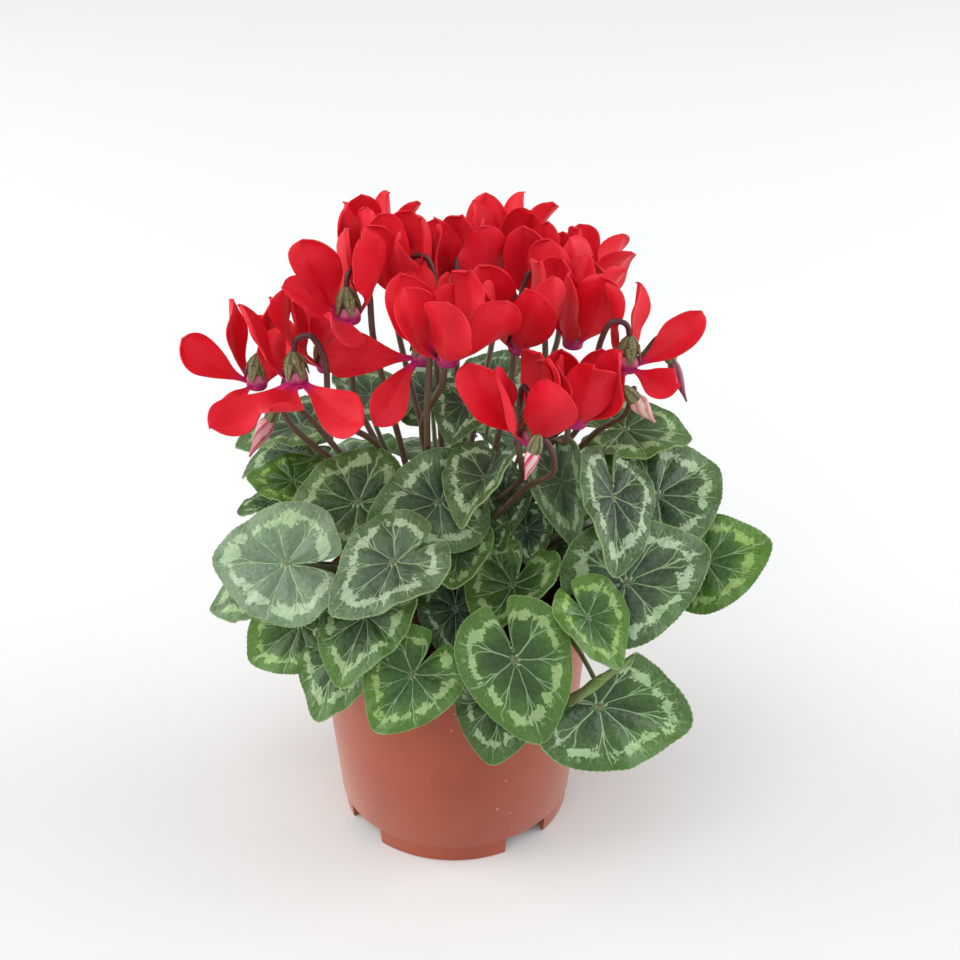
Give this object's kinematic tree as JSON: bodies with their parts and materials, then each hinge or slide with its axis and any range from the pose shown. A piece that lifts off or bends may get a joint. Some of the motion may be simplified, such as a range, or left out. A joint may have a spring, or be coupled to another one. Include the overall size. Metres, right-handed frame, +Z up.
{
  "type": "potted cyclamen",
  "caption": "Flowering cyclamen with marbled heart-shaped leaves and swept-back blooms on hooked stalks, in a round plastic nursery pot",
  "frame": {"origin": "middle of the pot's underside, in the plane that its four feet stand in", "axes": "+Z up along the pot's axis; -Y towards the front of the plant, the side the picture shows; +X to the right as seen from the front"},
  "size_m": [0.2063, 0.1577, 0.2358],
  "materials": {
    "pot": "satin moulded plastic in terracotta colour",
    "peat": "dull crumbled peat",
    "tuber": "dull corky skin",
    "stalk": "smooth, faintly shiny plant skin",
    "leaf": "satin leaf with silver marbling",
    "petal": "soft velvety petal",
    "bud": "soft satin bud"
  },
  "bodies": {
    "root": {"pot": "pot", "peat": "peat", "tuber": "tuber", "stalks_left": "stalk", "stalks_middle": "stalk", "stalks_right": "stalk", "leaf_front_low_right": "leaf", "leaf_front_low": "leaf", "leaf_front_low_left": "leaf", "leaf_right_low": "leaf", "leaf_front_left": "leaf", "leaf_front_left_top": "leaf", "leaf_left_broad": "leaf", "leaf_left_top": "leaf", "leaf_centre_left": "leaf", "leaf_centre_front": "leaf", "leaf_crescent": "leaf", "leaf_bowl": "leaf", "leaf_folded": "leaf", "leaf_right_front": "leaf", "leaf_right_broad": "leaf", "leaf_right_outer": "leaf", "leaf_right_middle": "leaf", "leaf_right_young": "leaf", "leaves_left_low": "leaf", "leaves_left_outer": "leaf", "leaves_left_back": "leaf", "leaf_inner_left": "leaf", "leaf_inner_back": "leaf", "leaf_top": "leaf", "leaf_top_right": "leaf", "leaves_back_low_1": "leaf", "leaves_back_low_2": "leaf", "leaves_back_low_3": "leaf", "leaves_back_middle_1": "leaf", "leaves_back_middle_2": "leaf", "leaves_back_high_1": "leaf", "leaves_back_high_2": "leaf", "bloom_left_outer": "petal", "bloom_left_front": "petal", "bloom_left_back": "petal", "bloom_middle_left_front": "petal", "bloom_middle_left": "petal", "bloom_middle_left_back": "petal", "bloom_middle_top": "petal", "bloom_middle_front": "petal", "bloom_middle_right_front": "petal", "bloom_middle_back": "petal", "bloom_middle_far": "petal", "bloom_right_far": "petal", "bloom_right_back": "petal", "bloom_right_middle": "petal", "bloom_front_low": "petal", "bloom_front_right": "petal", "bloom_right_outer": "petal", "bud_right_mauve": "bud", "bud_right_pale": "bud", "bud_left_pink": "bud", "bud_front_striped": "bud"}
  },
  "joints": []
}
